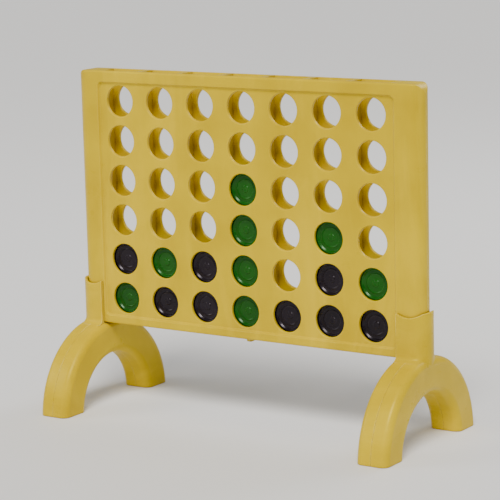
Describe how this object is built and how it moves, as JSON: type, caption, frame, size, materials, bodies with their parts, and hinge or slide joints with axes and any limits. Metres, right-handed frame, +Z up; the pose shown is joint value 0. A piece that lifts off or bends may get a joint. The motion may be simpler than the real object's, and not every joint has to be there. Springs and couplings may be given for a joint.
{
  "type": "four in a row game",
  "caption": "Upright yellow grid on two arch legs, with green and black counters that drop into its columns and a release bar below.",
  "frame": {"origin": "on the surface it stands on, midway between the legs", "axes": "+X along the grid to the right as seen from the front, +Y from front to back, +Z up"},
  "size_m": [0.2402, 0.106, 0.2048],
  "materials": {
    "yellow_panel": "satin moulded plastic",
    "yellow_leg": "satin moulded plastic",
    "yellow_bar": "satin moulded plastic",
    "green_counter": "glossy moulded plastic",
    "black_counter": "glossy moulded plastic"
  },
  "bodies": {
    "frame": {"front_panel": "yellow_panel", "rear_panel": "yellow_panel"},
    "release_bar": {"release_bar": "yellow_bar"},
    "left_leg": {"left_leg_outer_shell": "yellow_leg", "left_leg_inner_shell": "yellow_leg"},
    "right_leg": {"right_leg_outer_shell": "yellow_leg", "right_leg_inner_shell": "yellow_leg"},
    "green_counter_column1_row1": {"green_counter_column1_row1": "green_counter"},
    "black_counter_column1_row2": {"black_counter_column1_row2": "black_counter"},
    "black_counter_column2_row1": {"black_counter_column2_row1": "black_counter"},
    "green_counter_column2_row2": {"green_counter_column2_row2": "green_counter"},
    "black_counter_column3_row1": {"black_counter_column3_row1": "black_counter"},
    "black_counter_column3_row2": {"black_counter_column3_row2": "black_counter"},
    "green_counter_column4_row1": {"green_counter_column4_row1": "green_counter"},
    "green_counter_column4_row2": {"green_counter_column4_row2": "green_counter"},
    "green_counter_column4_row3": {"green_counter_column4_row3": "green_counter"},
    "green_counter_column4_row4": {"green_counter_column4_row4": "green_counter"},
    "black_counter_column5_row1": {"black_counter_column5_row1": "black_counter"},
    "black_counter_column6_row1": {"black_counter_column6_row1": "black_counter"},
    "black_counter_column6_row2": {"black_counter_column6_row2": "black_counter"},
    "green_counter_column6_row3": {"green_counter_column6_row3": "green_counter"},
    "black_counter_column7_row1": {"black_counter_column7_row1": "black_counter"},
    "green_counter_column7_row2": {"green_counter_column7_row2": "green_counter"}
  },
  "joints": [
    {"name": "release_slide", "type": "slide", "parent": "frame", "child": "release_bar", "axis": [1, 0, 0], "range_m": [0, 0.0144]},
    {"name": "left_leg_pull", "type": "slide", "parent": "frame", "child": "left_leg", "axis": [0, 0, -1], "range_m": [0, 0.03]},
    {"name": "right_leg_pull", "type": "slide", "parent": "frame", "child": "right_leg", "axis": [0, 0, -1], "range_m": [0, 0.03]},
    {"name": "lift_column1_row1", "type": "slide", "parent": "frame", "child": "green_counter_column1_row1", "axis": [0, 0, 1], "range_m": [0, 0.152]},
    {"name": "lift_column1_row2", "type": "slide", "parent": "green_counter_column1_row1", "child": "black_counter_column1_row2", "axis": [0, 0, 1], "range_m": [0, 0.128]},
    {"name": "lift_column2_row1", "type": "slide", "parent": "frame", "child": "black_counter_column2_row1", "axis": [0, 0, 1], "range_m": [0, 0.152]},
    {"name": "lift_column2_row2", "type": "slide", "parent": "black_counter_column2_row1", "child": "green_counter_column2_row2", "axis": [0, 0, 1], "range_m": [0, 0.128]},
    {"name": "lift_column3_row1", "type": "slide", "parent": "frame", "child": "black_counter_column3_row1", "axis": [0, 0, 1], "range_m": [0, 0.152]},
    {"name": "lift_column3_row2", "type": "slide", "parent": "black_counter_column3_row1", "child": "black_counter_column3_row2", "axis": [0, 0, 1], "range_m": [0, 0.128]},
    {"name": "lift_column4_row1", "type": "slide", "parent": "frame", "child": "green_counter_column4_row1", "axis": [0, 0, 1], "range_m": [0, 0.152]},
    {"name": "lift_column4_row2", "type": "slide", "parent": "green_counter_column4_row1", "child": "green_counter_column4_row2", "axis": [0, 0, 1], "range_m": [0, 0.128]},
    {"name": "lift_column4_row3", "type": "slide", "parent": "green_counter_column4_row2", "child": "green_counter_column4_row3", "axis": [0, 0, 1], "range_m": [0, 0.104]},
    {"name": "lift_column4_row4", "type": "slide", "parent": "green_counter_column4_row3", "child": "green_counter_column4_row4", "axis": [0, 0, 1], "range_m": [0, 0.08]},
    {"name": "lift_column5_row1", "type": "slide", "parent": "frame", "child": "black_counter_column5_row1", "axis": [0, 0, 1], "range_m": [0, 0.152]},
    {"name": "lift_column6_row1", "type": "slide", "parent": "frame", "child": "black_counter_column6_row1", "axis": [0, 0, 1], "range_m": [0, 0.152]},
    {"name": "lift_column6_row2", "type": "slide", "parent": "black_counter_column6_row1", "child": "black_counter_column6_row2", "axis": [0, 0, 1], "range_m": [0, 0.128]},
    {"name": "lift_column6_row3", "type": "slide", "parent": "black_counter_column6_row2", "child": "green_counter_column6_row3", "axis": [0, 0, 1], "range_m": [0, 0.104]},
    {"name": "lift_column7_row1", "type": "slide", "parent": "frame", "child": "black_counter_column7_row1", "axis": [0, 0, 1], "range_m": [0, 0.152]},
    {"name": "lift_column7_row2", "type": "slide", "parent": "black_counter_column7_row1", "child": "green_counter_column7_row2", "axis": [0, 0, 1], "range_m": [0, 0.128]}
  ]
}
